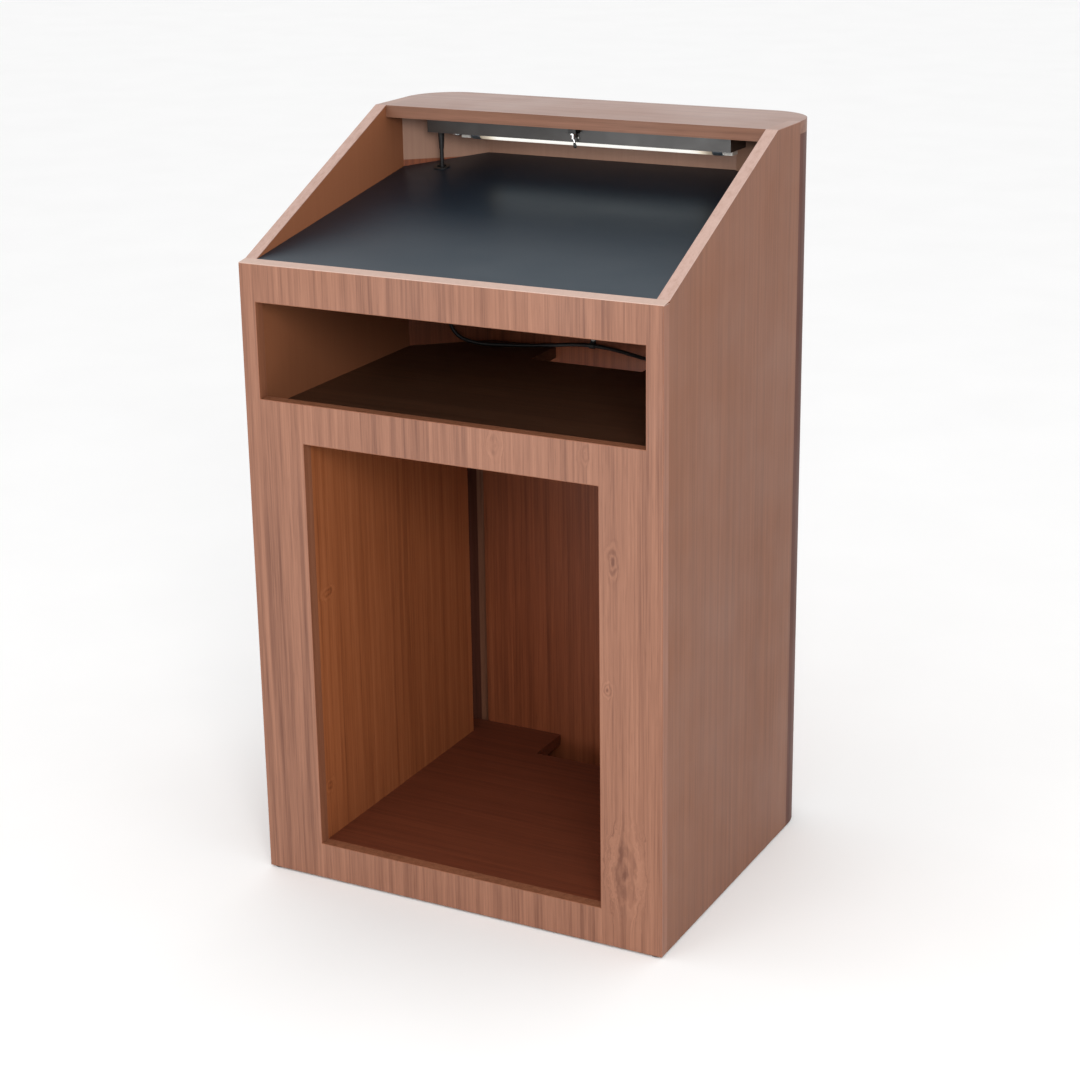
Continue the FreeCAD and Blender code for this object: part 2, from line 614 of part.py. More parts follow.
# ---- ballast, starter, compartment cover ---------------------------------------------------------------------
BALLAST_X = (-120.0, -8.0)
BALLAST_LOW_Z = 1128.0
BALLAST_LUG = 10.0
BALLAST_LUG_T = 1.2
ballast_y = (tube_y + REFLECTOR_HALF_LOW + 0.5, inner_rear - 0.5)
ballast = box(*BALLAST_X, *ballast_y, BALLAST_LOW_Z, inner_top)
ballast_foot = box(BALLAST_X[0] - BALLAST_LUG, BALLAST_X[1] + BALLAST_LUG, *ballast_y,
                   inner_top - BALLAST_LUG_T, inner_top)
ballast_screws = []
ballast_slots = []
for screw_x in (BALLAST_X[0] - BALLAST_LUG / 2, BALLAST_X[1] + BALLAST_LUG / 2):
    seat = vec(screw_x, sum(ballast_y) / 2, inner_top - BALLAST_LUG_T)
    ballast_screws.append(fuse_all([rod(seat - Z * 1.8, Z, 3.2, 1.8), rod(seat, Z, 1.5, 2.0)]))
    ballast_slots.append(cross_slot(seat - Z * 1.8, Z, 3.4))
add("ballast", cut_all(fuse_all([ballast, ballast_foot]), ballast_screws))
add("ballast_screws", [screw.cut(slot) for screw, slot in zip(ballast_screws, ballast_slots)])
drill("lamp_housing", ballast_screws)
drill("top_panel", ballast_screws)

STARTER_X = -238.0
STARTER_Y = LAMP_FRONT_Y + 39.0
RELIEF_X = -260.0
RELIEF_Y = LAMP_FRONT_Y + 23.0
STARTER_SEAT_Z = 1137.0
starter_low = lamp_low - 8.0
socket_low = lamp_low + 2.0
starter = rod(vec(STARTER_X, STARTER_Y, starter_low), Z, 8.6, STARTER_SEAT_Z - starter_low)
starter = starter.makeFillet(2.0, [edge for edge in starter.Edges if edge.Curve.TypeId == "Part::GeomCircle"
                                   and edge.BoundBox.ZMax < starter_low + 1.0])
socket = ring(vec(STARTER_X, STARTER_Y, socket_low), Z, 12.0, 8.8, STARTER_SEAT_Z - socket_low)
socket = fuse_all([socket, rod(vec(STARTER_X, STARTER_Y, STARTER_SEAT_Z), Z, 12.0, inner_top - STARTER_SEAT_Z)])
add("starter", starter)
add("starter_socket", socket)
cover = box(LAMP_LEFT_X + CAP_T, compartment_right, inner_front, inner_rear, lamp_low, lamp_low + LAMP_SHEET)
cover = cover.cut(rod(vec(STARTER_X, STARTER_Y, lamp_low - 1.0), Z, 9.4, 3.0))
cover = cover.cut(rod(vec(RELIEF_X, RELIEF_Y, lamp_low - 1.0), Z, 5.0, 3.0))
add("compartment_cover", cover)

RELIEF_TIP_Z = 1096.0
relief_flange_z = lamp_low - 3.0
relief = fuse_all([
    rod(vec(RELIEF_X, RELIEF_Y, relief_flange_z), Z, 6.6, 3.0),
    rod(vec(RELIEF_X, RELIEF_Y, lamp_low), Z, 5.0, LAMP_SHEET),
    rod(vec(RELIEF_X, RELIEF_Y, lamp_low + LAMP_SHEET), Z, 6.2, 4.0),
    Part.makeCone(CORD_D / 2 + 0.5, 5.2, relief_flange_z - RELIEF_TIP_Z, vec(RELIEF_X, RELIEF_Y, RELIEF_TIP_Z), Z)])
add("cord_strain_relief", relief)

# ---- lamp cord -------------------------------------------------------------------------------------------------
cord_rest_z = SHELF_TOP_Z + CORD_D / 2 + 0.5
COIL_X = 236.0
COIL_Y = 150.0
COIL_MEAN_R = 39.0
coil_outer = COIL_MEAN_R + CORD_D
coil_inner = COIL_MEAN_R - CORD_D
coil_low = SHELF_TOP_Z + 1.3
coil_layer_2 = coil_low + CORD_D
coil_high = coil_layer_2 + CORD_D
coil_slot = COIL_MEAN_R + CORD_D / 2 - 0.4

# From the lamp down through the desk, down to the shelf, along it and through the clip, into the coil.
lamp_run = [
    (RELIEF_X, RELIEF_Y, RELIEF_TIP_Z),
    (RELIEF_X, RELIEF_Y, 1068.0),
    (-263.0, 176.0, 1028.0),
    (-269.0, 187.0, 962.0),
    (-275.0, 194.0, 882.0),
    (-272.0, 191.0, 818.0),
    (-258.0, 193.0, 780.0),
    (-222.0, 203.0, cord_rest_z + 0.5),
    (-168.0, 217.0, cord_rest_z + 0.2),
    (-112.0, 234.0, cord_rest_z + 1.5),
    (-58.0, clip_y, CLIP_Z),
    (-4.0, clip_y, CLIP_Z),
    (48.0, 236.0, 769.0),
    (98.0, 217.0, cord_rest_z + 0.2),
    (150.0, 193.0, cord_rest_z),
    (196.0, 188.0, cord_rest_z + 1.0),
    (COIL_X, COIL_Y + coil_slot, coil_low + CORD_D / 2),
]
# From the top of the coil, round towards the speaker's side, into the plug.
PLUG_Z = SHELF_TOP_Z + 9.8
plug_run = [
    (COIL_X, COIL_Y - coil_slot, coil_high - CORD_D / 2),
    (COIL_X - 30.0, COIL_Y - coil_slot - 2.5, PLUG_Z + 7.0),
    (COIL_X - 54.0, COIL_Y - coil_slot - 19.0, PLUG_Z + 4.0),
    (COIL_X - 61.0, COIL_Y - coil_slot - 48.0, PLUG_Z + 1.5),
    (COIL_X - 47.0, COIL_Y - coil_slot - 75.0, PLUG_Z),
    (COIL_X - 27.0, COIL_Y - coil_slot - 96.0, PLUG_Z),
]


def cord_tube(points, label):
    """Straight runs joined by tangent arcs, swept with the cord's round section."""
    route = [vec(*point) for point in points]
    edges = []
    start = route[0]
    for before, corner, after in zip(route, route[1:], route[2:]):
        run_in = corner - before
        run_out = after - corner
        short = min(run_in.Length, run_out.Length)
        turn = run_in.getAngle(run_out)
        radius = 0.45 * short / math.tan(turn / 2)
        unit_in = run_in * (1 / run_in.Length)
        unit_out = run_out * (1 / run_out.Length)
        leave = corner - unit_in * (0.45 * short)
        rejoin = corner + unit_out * (0.45 * short)
        inward = (unit_out - unit_in).normalize()
        middle = corner + inward * (radius / math.cos(turn / 2) - radius)
        print(label, "run", round(run_in.Length, 1), "turn", round(math.degrees(turn), 1), "radius", round(radius, 1))
        edges.append(Part.LineSegment(start, leave).toShape())
        edges.append(Part.Arc(leave, middle, rejoin).toShape())
        start = rejoin
    edges.append(Part.LineSegment(start, route[-1]).toShape())
    print(label, "last run", round((route[-1] - route[-2]).Length, 1))
    path = Part.Wire(edges)
    heading = (route[1] - route[0]).normalize()
    section = Part.Wire(Part.makeCircle(CORD_D / 2, route[0], heading))
    tube = path.makePipeShell([section], True, True)
    area = math.pi * CORD_D * CORD_D / 4
    print(label, "length", round(path.Length, 1), "volume ratio", round(tube.Volume / (area * path.Length), 4))
    return tube


# Three and a half turns: outer and inner below, inner above, and half an outer turn above.
coil_centre = vec(COIL_X, COIL_Y, coil_low)
coil_centre_2 = vec(COIL_X, COIL_Y, coil_layer_2)
last_turn = ring(coil_centre_2, Z, coil_outer, COIL_MEAN_R, CORD_D)
last_turn = last_turn.common(box(COIL_X, COIL_X + 60.0, COIL_Y - 60.0, COIL_Y + 60.0, coil_layer_2, coil_high))
coil = fuse_all([ring(coil_centre, Z, coil_outer, coil_inner, CORD_D),
                 ring(coil_centre_2, Z, COIL_MEAN_R, coil_inner, CORD_D), last_turn])
add("lamp_cord_coil", coil)
coil_room = rod(vec(COIL_X, COIL_Y, SHELF_TOP_Z - 10.0), Z, coil_outer, 40.0)
add("lamp_cord", [cord_tube(lamp_run, "lamp run").cut(coil_room), cord_tube(plug_run, "plug run").cut(coil_room)])

TIE_T = 1.0
TIE_HALF = 4.0


def tie_block(grow):
    return box(COIL_X + coil_inner - 0.6 - grow, COIL_X + coil_outer + 0.2 + grow,
               COIL_Y - TIE_HALF, COIL_Y + TIE_HALF, coil_low - 0.2 - grow, coil_high + 0.2 + grow)


add("cord_tie", tie_block(TIE_T).cut(tie_block(0.0)))

# ---- plug: a moulded body with two flat blades and a round earth pin ------------------------------------------------
plug_end = vec(*plug_run[-1])
plug_axis = (plug_end - vec(*plug_run[-2])).normalize()
PLUG_LENGTH = 34.0


def plug_frame(shape):
    """Move a shape drawn along +Z from the origin to the cord's end."""
    shape.Placement = FreeCAD.Placement(plug_end, FreeCAD.Rotation(vec(1, 0, 0), vec(0, 1, 0), plug_axis, "ZXY"))
    return shape


plug_nose = Part.makeCone(CORD_D / 2 + 0.6, 7.0, 14.0)
plug_body = fuse_all([plug_nose, rod(vec(0, 0, 12.0), Z, 9.4, PLUG_LENGTH - 12.0)])
plug_body = plug_body.makeFillet(1.5, [edge for edge in plug_body.Edges if edge.Curve.TypeId == "Part::GeomCircle"
                                       and abs(edge.BoundBox.ZMax - PLUG_LENGTH) < 0.1])
blade_shapes = []
for blade_x in (-6.35, 6.35):
    blade_shapes.append(box(blade_x - 0.75, blade_x + 0.75, -0.9, 5.4, PLUG_LENGTH - 6.0, PLUG_LENGTH + 16.0))
blade_shapes.append(rod(vec(0, -5.6, PLUG_LENGTH - 6.0), Z, 2.38, 24.0))
plug_body = cut_all(plug_body, blade_shapes)
add("plug_body", plug_frame(plug_body))
add("plug_blades", [plug_frame(blade) for blade in blade_shapes])

write_nodes()
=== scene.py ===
import bpy
import math
from mathutils import Matrix, Vector


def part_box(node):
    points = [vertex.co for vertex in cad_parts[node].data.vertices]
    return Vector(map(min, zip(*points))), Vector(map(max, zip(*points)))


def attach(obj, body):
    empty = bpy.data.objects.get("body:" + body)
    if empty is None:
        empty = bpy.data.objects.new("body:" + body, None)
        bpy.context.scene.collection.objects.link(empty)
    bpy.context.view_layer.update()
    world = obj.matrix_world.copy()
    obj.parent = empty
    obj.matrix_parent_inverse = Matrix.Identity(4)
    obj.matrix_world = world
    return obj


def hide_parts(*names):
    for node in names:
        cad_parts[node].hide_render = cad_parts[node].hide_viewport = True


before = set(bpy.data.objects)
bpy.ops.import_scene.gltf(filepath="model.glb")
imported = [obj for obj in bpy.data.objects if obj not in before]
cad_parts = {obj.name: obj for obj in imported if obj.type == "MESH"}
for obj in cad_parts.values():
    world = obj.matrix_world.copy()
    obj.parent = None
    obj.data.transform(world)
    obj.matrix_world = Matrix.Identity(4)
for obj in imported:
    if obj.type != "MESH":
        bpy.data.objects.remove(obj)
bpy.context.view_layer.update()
scene = bpy.context.scene


def node_object(name):
    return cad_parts[name]


# ---- camera: place in metres, angles in degrees, lens in millimetres ---------------------
CAMERA_PLACE = (1.611, -3.065, 1.698)
CAMERA_AZIMUTH = 27.735
CAMERA_ELEVATION = 18.04
CAMERA_ROLL = -0.813
CAMERA_LENS = 76.92
CAMERA_SHIFT = -0.03


def make_camera():
    data = bpy.data.cameras.new("camera")
    data.lens = CAMERA_LENS
    data.shift_y = CAMERA_SHIFT
    camera = bpy.data.objects.new("camera", data)
    scene.collection.objects.link(camera)
    heading = Matrix.Rotation(math.radians(CAMERA_AZIMUTH), 4, "Z")
    pitch = Matrix.Rotation(math.radians(90.0 - CAMERA_ELEVATION), 4, "X")
    roll = Matrix.Rotation(math.radians(CAMERA_ROLL), 4, "Z")
    camera.matrix_world = Matrix.Translation(CAMERA_PLACE) @ heading @ pitch @ roll
    scene.camera = camera


make_camera()

# ---- lamp cord: one route from the strain relief, through the coil, to the plug ----------
CORD_D = 0.0065
COIL_CENTRE = Vector((0.236, 0.150, 0.0))
COIL_TURNS = 3.5
COIL_START_R = 0.04185
COIL_LOW_Z = 0.76755
COIL_HIGH_Z = COIL_LOW_Z + CORD_D
CLIMB = (1.6, 1.9)
CLIMB_DRIFT = 0.1
POINTS_PER_TURN = 16

lamp_run = [
    (-0.260, 0.169, 1.096),
    (-0.260, 0.169, 1.068),
    (-0.263, 0.176, 1.028),
    (-0.269, 0.187, 0.962),
    (-0.275, 0.194, 0.882),
    (-0.272, 0.191, 0.818),
    (-0.258, 0.193, 0.780),
    (-0.222, 0.203, 0.76725),
    (-0.168, 0.217, 0.76695),
    (-0.112, 0.234, 0.76825),
    (-0.058, 0.249, 0.773),
    (-0.004, 0.249, 0.773),
    (0.048, 0.236, 0.769),
    (0.098, 0.217, 0.76695),
    (0.150, 0.193, 0.76675),
    (0.196, 0.188, 0.76775),
]
plug_run = [
    (0.206, 0.10565, 0.7798),
    (0.182, 0.08915, 0.7768),
    (0.175, 0.06015, 0.7743),
    (0.189, 0.03315, 0.7728),
    (0.209, 0.01215, 0.7728),
]


def coil_point(turn):
    """A place on the coil: a spiral inwards, a climb of one layer, and a spiral outwards on top."""
    climbed = min(max((turn - CLIMB[0]) / (CLIMB[1] - CLIMB[0]), 0.0), 1.0)
    inwards = min(turn, CLIMB[0]) + CLIMB_DRIFT * climbed
    outwards = max(turn - CLIMB[1], 0.0)
    radius = COIL_START_R - CORD_D * (inwards - outwards)
    angle = math.pi / 2 - 2 * math.pi * turn
    reach = radius / math.cos(math.pi / POINTS_PER_TURN)
    height = COIL_LOW_Z + (COIL_HIGH_Z - COIL_LOW_Z) * climbed
    return COIL_CENTRE + Vector((reach * math.cos(angle), reach * math.sin(angle), height))


def smooth_curve(name, points, thickness):
    """One open NURBS spline with these control points, as a round cord.
    Its thickness is in the points' radii, so that its box is no larger than the cord."""
    curve = bpy.data.curves.new(name, "CURVE")
    curve.dimensions = "3D"
    curve.bevel_depth = 1.0
    curve.bevel_resolution = 5
    curve.resolution_u = 6
    curve.use_fill_caps = True
    spline = curve.splines.new("NURBS")
    spline.points.add(len(points) - 1)
    for control, place in zip(spline.points, points):
        control.co = (*place, 1.0)
        control.radius = thickness / 2
    spline.order_u = 3
    spline.use_endpoint_u = True
    made = bpy.data.objects.new(name, curve)
    scene.collection.objects.link(made)
    return made


coil_steps = int(COIL_TURNS * POINTS_PER_TURN)
route = [Vector(place) for place in lamp_run]
route += [coil_point(step / POINTS_PER_TURN) for step in range(coil_steps + 1)]
route += [Vector(place) for place in plug_run]
lamp_cord = smooth_curve("lamp_cord_jacket", route, CORD_D)
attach(lamp_cord, "cabinet")
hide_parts("lamp_cord", "lamp_cord_coil")


# ---- meshes made here --------------------------------------------------------------------
def mesh_object(name, points, faces, smooth=True):
    mesh = bpy.data.meshes.new(name)
    mesh.from_pydata([tuple(point) for point in points], [], faces)
    mesh.validate()
    mesh.polygons.foreach_set("use_smooth", [smooth] * len(mesh.polygons))
    made = bpy.data.objects.new(name, mesh)
    scene.collection.objects.link(made)
    return made


def loft(name, sections):
    """A closed skin over rings of points that all have the same count."""
    count = len(sections[0])
    points = [point for section in sections for point in section]
    faces = []
    for row in range(len(sections) - 1):
        for i in range(count):
            j = (i + 1) % count
            low, high = row * count, (row + 1) * count
            faces.append((low + i, low + j, high + j, high + i))
    faces.append(tuple(reversed(range(count))))
    faces.append(tuple(range(len(points) - count, len(points))))
    return mesh_object(name, points, faces)


# ---- plug: a moulded grip with a ribbed neck ---------------------------------------------
PLUG_LENGTH = 0.034
PLUG_R = 0.0093
PLUG_LIMIT_R = 0.0094
PLUG_STEPS = 68
PLUG_SIDES = 40
NECK_LENGTH = 0.014
NECK_START_R = 0.0041
NECK_END_R = 0.0067
NECK_RIBS = 4
RIB_HEIGHT = 0.00045
SHOULDER_LENGTH = 0.0045
WAIST_MIDDLE, WAIST_SPREAD, WAIST_DEPTH = 0.0235, 0.004, 0.0008
NOSE_START, NOSE_LENGTH, NOSE_DEPTH = 0.0325, 0.0015, 0.0012
ROUND_POWER = 2.0
SQUARE_POWER = 2.9
SQUARING_LENGTH = 0.006


def plug_radius(along):
    """The plug's half width at a distance from the cord."""
    if along < NECK_LENGTH:
        rib = RIB_HEIGHT * math.cos(along / NECK_LENGTH * 2 * math.pi * NECK_RIBS)
        return NECK_START_R + (NECK_END_R - NECK_START_R) * along / NECK_LENGTH + rib
    shoulder = min((along - NECK_LENGTH) / SHOULDER_LENGTH, 1.0)
    waist = WAIST_DEPTH * math.exp(-((along - WAIST_MIDDLE) / WAIST_SPREAD) ** 2)
    nose = NOSE_DEPTH * max(0.0, (along - NOSE_START) / NOSE_LENGTH) ** 2
    return NECK_END_R + (PLUG_R - NECK_END_R) * math.sin(shoulder * math.pi / 2) - waist - nose


def make_plug():
    end = Vector(plug_run[-1])
    axis = (end - Vector(plug_run[-2])).normalized()
    up = Vector((0.0, 0.0, 1.0))
    across = up.cross(axis)
    sections = []
    for step in range(PLUG_STEPS + 1):
        along = PLUG_LENGTH * step / PLUG_STEPS
        radius = plug_radius(along)
        squared = min(max((along - NECK_LENGTH) / SQUARING_LENGTH, 0.0), 1.0)
        power = ROUND_POWER + (SQUARE_POWER - ROUND_POWER) * squared
        section = []
        for side in range(PLUG_SIDES):
            angle = 2 * math.pi * side / PLUG_SIDES
            c, s = math.cos(angle), math.sin(angle)
            size = radius / (abs(c) ** power + abs(s) ** power) ** (1 / power)
            size = min(size, PLUG_LIMIT_R)
            section.append(end + axis * along + across * (c * size) + up * (s * size))
        sections.append(section)
    return loft("plug_grip", sections)


plug_grip = make_plug()
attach(plug_grip, "cabinet")
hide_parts("plug_body")


# ---- tie: a soft strap wrapped round the coil with a free tail ---------------------------
STRAP_WIDTH = 0.0095
STRAP_T = 0.0009
STRAP_REACH_X = (0.0300, 0.0462)
LAP_START = 0.004
LAP_RISES = (0.0006, 0.0010, 0.0011, 0.0016)
TAIL_MARGIN = 0.0005
STRAP_Z = (0.76375, 0.77795)
STRAP_CORNER_R = 0.0034
CORNER_STEPS = 6
EDGE_SHARE = 0.9


def strap_path():
    """Middle line of the strap in the X-Z plane, from the top, round the coil and over itself."""
    low_x, high_x = COIL_CENTRE.x + STRAP_REACH_X[0], COIL_CENTRE.x + STRAP_REACH_X[1]
    low_z, high_z = STRAP_Z
    corner = STRAP_CORNER_R
    centres = [((high_x - corner, high_z - corner), 90), ((high_x - corner, low_z + corner), 0),
               ((low_x + corner, low_z + corner), -90), ((low_x + corner, high_z - corner), -180)]
    middle_x = (low_x + high_x) / 2
    path = [(middle_x - 0.003, high_z - 0.0001)]
    for (cx, cz), start in centres:
        for step in range(CORNER_STEPS + 1):
            angle = math.radians(start - 90 / CORNER_STEPS * step)
            path.append((cx + corner * math.cos(angle), cz + corner * math.sin(angle)))
    lap_places = (middle_x - LAP_START, middle_x, high_x - corner, high_x - TAIL_MARGIN)
    path += [(x, high_z + rise) for x, rise in zip(lap_places, LAP_RISES)]
    return path


def make_strap():
    path = [Vector((x, 0.0, z)) for x, z in strap_path()]
    sections = []
    for i, place in enumerate(path):
        ahead = path[min(i + 1, len(path) - 1)] - path[max(i - 1, 0)]
        outward = Vector((-ahead.z, 0.0, ahead.x)).normalized() * (STRAP_T / 2)
        half = Vector((0.0, STRAP_WIDTH / 2, 0.0))
        centre = place + Vector((0.0, COIL_CENTRE.y, 0.0))
        edge = half * EDGE_SHARE
        sections.append([centre - half, centre - edge + outward, centre + edge + outward,
                         centre + half, centre + edge - outward, centre - edge - outward])
    return loft("coil_strap", sections)


coil_strap = make_strap()
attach(coil_strap, "cabinet")
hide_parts("cord_tie")


# ---- material building -------------------------------------------------------------------
def tone(red, green, blue):
    """A display colour, 0 to 255, as the linear colour that shaders take."""
    def straight(value):
        value /= 255.0
        return value / 12.92 if value <= 0.04045 else ((value + 0.055) / 1.055) ** 2.4
    return (straight(red), straight(green), straight(blue), 1.0)


class Graph:
    """One node material. A socket's value is a number, a colour, a vector or another node's output."""

    def __init__(self, name, **surface):
        self.material = bpy.data.materials.new(name)
        self.material.use_nodes = True
        self.tree = self.material.node_tree
        self.shader = self.tree.nodes["Principled BSDF"]
        self.fill(self.shader, {key.replace("_", " "): value for key, value in surface.items()})

    def fill(self, node, values):
        for socket, value in values.items():
            if isinstance(value, bpy.types.NodeSocket):
                self.tree.links.new(value, node.inputs[socket])
            else:
                node.inputs[socket].default_value = value

    def add(self, kind, values, out=0, **settings):
        node = self.tree.nodes.new("ShaderNode" + kind)
        for key, value in settings.items():
            setattr(node, key, value)
        self.fill(node, values)
        return node.outputs[out]

    def place(self):
        return self.add("TexCoord", {}, "Object")

    def stretched(self, vector, scale, shift=(0.0, 0.0, 0.0)):
        return self.add("Mapping", {"Vector": vector, "Scale": scale, "Location": shift})

    def noise(self, vector, scale=1.0, detail=2.0, roughness=0.5, distortion=0.0):
        return self.add("TexNoise", {"Vector": vector, "Scale": scale, "Detail": detail,
                                     "Roughness": roughness, "Distortion": distortion})

    def maths(self, operation, a, b=0.0, c=0.0):
        return self.add("Math", {0: a, 1: b, 2: c}, operation=operation)

    def span(self, value, low, high, to_low=0.0, to_high=1.0, smooth=False):
        """value carried from low..high to to_low..to_high, clamped."""
        kind = "SMOOTHSTEP" if smooth else "LINEAR"
        return self.add("MapRange", {"Value": value, "From Min": low, "From Max": high,
                                     "To Min": to_low, "To Max": to_high}, interpolation_type=kind)

    def ramp(self, value, stops):
        colour = self.add("ValToRGB", {"Fac": value})
        elements = colour.node.color_ramp.elements
        while len(elements) < len(stops):
            elements.new(0.5)
        for element, (position, shade) in zip(elements, stops):
            element.position = position
            element.color = shade
        return colour

    def mix(self, factor, a, b, blend="MIX"):
        return self.add("Mix", {0: factor, 6: a, 7: b}, 2, data_type="RGBA", blend_type=blend)

    def bump(self, height, strength, distance):
        normal = self.add("Bump", {"Height": height, "Strength": strength, "Distance": distance})
        self.fill(self.shader, {"Normal": normal})

    def finish(self, **values):
        self.fill(self.shader, {key.replace("_", " "): value for key, value in values.items()})
        return self.material


def paint(material, *names):
    for name in names:
        slots = node_object(name).data.materials
        slots.clear()
        slots.append(material)


def dress(piece, material):
    piece.data.materials.clear()
    piece.data.materials.append(material)


# ---- wood-pattern laminate ---------------------------------------------------------------
ACROSS = {"Z": (1.0, 1.0, 0.0), "X": (0.0, 1.0, 1.0), "Y": (1.0, 0.0, 1.0)}


def grain_scale(along, across_scale, along_scale):
    """Scales for a pattern that is drawn out along one axis."""
    return [across_scale if flag else along_scale for flag in ACROSS[along]]


KNOT_WOBBLE = 1.1
KNOT_DRIFT = 0.65
RING_RATE = 13.0
CORE_DEPTH = 1.8


def knots(g, vector, face, figures):
    """Rings of figure on a face, and the coordinates bent round them.
    face names the two axes of the face; a figure is (middle, half size, strength)."""
    axes = g.add("SeparateXYZ", {"Vector": vector}).node.outputs
    u, w = axes[face[0]], axes[face[1]]
    wobble = g.noise(g.stretched(vector, (75.0, 75.0, 30.0)), detail=3.0, roughness=0.6)
    drift, rings = 0.0, 0.0
    for (mid_u, mid_w), (half_u, half_w), strength in figures:
        du = g.maths("SUBTRACT", u, mid_u)
        dw = g.maths("SUBTRACT", w, mid_w)
        offset = g.add("CombineXYZ", {0: g.maths("DIVIDE", du, half_u), 1: g.maths("DIVIDE", dw, half_w)})
        far = g.add("VectorMath", {0: offset}, "Value", operation="LENGTH")
        far = g.maths("MULTIPLY_ADD", wobble, KNOT_WOBBLE, g.maths("SUBTRACT", far, KNOT_WOBBLE / 2))
        mask = g.span(far, 1.0, 0.4, smooth=True)
        ring = g.maths("SINE", g.maths("MULTIPLY", far, RING_RATE))
        rings = g.maths("MULTIPLY_ADD", g.maths("MULTIPLY", ring, mask), strength, rings)
        core = g.span(far, 0.22, 0.02, smooth=True)
        rings = g.maths("MULTIPLY_ADD", core, -CORE_DEPTH * strength, rings)
        drift = g.maths("MULTIPLY_ADD", g.maths("MULTIPLY", du, mask), KNOT_DRIFT, drift)
    bent = {face[0]: g.maths("SUBTRACT", u, drift)}
    parts = {axis: bent.get(axis, axes[axis]) for axis in "XYZ"}
    return g.add("CombineXYZ", parts), rings


STREAK_SHARE = 0.95
FINE_SHARE = 0.5
CLOUD_SHARE = 0.36


def laminate(name, pale, middle, deep, along="Z", shift=(0.0, 0.0, 0.0), face="XZ", figures=(),
             contrast=1.0, roughness=0.42, sheen=0.3, second=None):
    """A wood pattern in three tones, with its grain along an axis.
    second is (mask, tone): mask(g, vector) is 1 where that tone covers the piece instead; here it paints
    light or shade on part of a piece."""
    g = Graph(name, IOR=1.5, Specular_IOR_Level=sheen)
    vector = g.place()
    rings = 0.0
    if figures:
        vector, rings = knots(g, vector, face, figures)
    cloud = g.noise(g.stretched(vector, grain_scale(along, 5.5, 0.9), shift), detail=2.0)
    streak = g.noise(g.stretched(vector, grain_scale(along, 125.0, 1.5), shift), detail=4.0, roughness=0.62)
    fine = g.noise(g.stretched(vector, grain_scale(along, 430.0, 9.0), shift), detail=2.0, roughness=0.6)
    depth = g.maths("MULTIPLY_ADD", streak, STREAK_SHARE * contrast, 0.5 - STREAK_SHARE / 2 * contrast)
    for pattern, share in ((fine, FINE_SHARE * contrast), (cloud, CLOUD_SHARE * contrast)):
        depth = g.maths("ADD", depth, g.maths("MULTIPLY_ADD", pattern, share, -share / 2))
    depth = g.maths("ADD", depth, rings)
    colour = g.ramp(depth, [(0.2, deep), (0.5, middle), (0.8, pale)])
    specks = g.noise(g.stretched(vector, grain_scale(along, 640.0, 22.0), shift), detail=1.0)
    pores = g.span(specks, 0.6, 0.72)
    colour = g.mix(g.maths("MULTIPLY", pores, 0.3 * contrast), colour, deep)
    if second:
        mask, shade = second
        grained = g.mix(g.span(depth, 0.2, 0.8, 0.22, 0.0), shade, deep)
        colour = g.mix(mask(g, vector), colour, grained)
    smear = g.noise(g.stretched(vector, (7.0, 7.0, 7.0), shift), detail=5.0)
    g.bump(g.maths("SUBTRACT", fine, g.maths("MULTIPLY", pores, 0.6)), 0.35, 0.00012)
    return g.finish(Base_Color=colour, Roughness=g.span(smear, 0.3, 0.7, roughness - 0.05, roughness + 0.07))


# Where one piece changes tone to paint light or shade: the side panels' inner faces (painted light), the
# band along the face frame's sloping lip (a painted highlight), the level part of the side bands (without
# the sloping part's painted highlight), and the liners above the desk's rear edge (painted light).
MASK_BLUR = 0.0005
INNER_FACE_MARGIN = 0.0002
INNER_FACE_BLUR = 0.0003
LIP_HEIGHT = 0.0044
DESK_EDGE_DROP = 0.0049
SIDE_INNER_X = -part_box("left_side_panel")[1][0] + INNER_FACE_MARGIN
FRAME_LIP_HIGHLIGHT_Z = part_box("frame_edge_banding")[1][2] - LIP_HEIGHT
LEVEL_TOP_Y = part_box("top_panel")[0][1]
LIGHT_POOL_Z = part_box("desk_laminate")[1][2] - DESK_EDGE_DROP


def past(axis, place):
    """A mask that is 1 beyond a place along an axis."""
    def mask(g, vector):
        along = g.add("SeparateXYZ", {"Vector": vector}, axis)
        return g.span(along, place - MASK_BLUR, place + MASK_BLUR)
    return mask


def inner_faces_painted_light(g, vector):
    """A mask that is 1 on the side panels' inner faces, where a lighter tone is painted in as light."""
    x = g.maths("ABSOLUTE", g.add("SeparateXYZ", {"Vector": vector}, "X"))
    return g.span(x, SIDE_INNER_X + INNER_FACE_BLUR, SIDE_INNER_X)


PALE = tone(158, 109, 85)
MIDDLE = tone(138, 92, 70)
DEEP = tone(102, 60, 42)

front_figures = [((0.287, 0.128), (0.042, 0.100), 0.09), ((0.268, 0.612), (0.015, 0.044), 0.12),
                 ((0.259, 0.415), (0.012, 0.018), 0.13), ((0.081, 0.762), (0.020, 0.034), 0.07),
                 ((0.225, 0.768), (0.014, 0.026), 0.07)]
front_laminate = laminate("front_laminate", PALE, MIDDLE, DEEP, figures=front_figures, sheen=0.42)
# The side panels' tones are darker than the front's: painted shade on the sides. Their inner faces take a
# lighter tone: painted light.
side_laminate = laminate("side_laminate", tone(138, 90, 64), tone(123, 77, 53), tone(98, 58, 38),
                         shift=(3.1, 1.7, 0.4), contrast=0.62, roughness=0.42, sheen=0.22,
                         second=(inner_faces_painted_light, tone(152, 96, 66)))
audience_laminate = laminate("audience_laminate", PALE, MIDDLE, DEEP, shift=(7.3, 2.2, 1.9), contrast=0.8)
post_laminate = laminate("post_laminate", tone(108, 64, 50), tone(90, 51, 39), tone(64, 34, 26),
                         shift=(5.2, 6.4, 0.9), contrast=0.7, roughness=0.45, sheen=0.12)
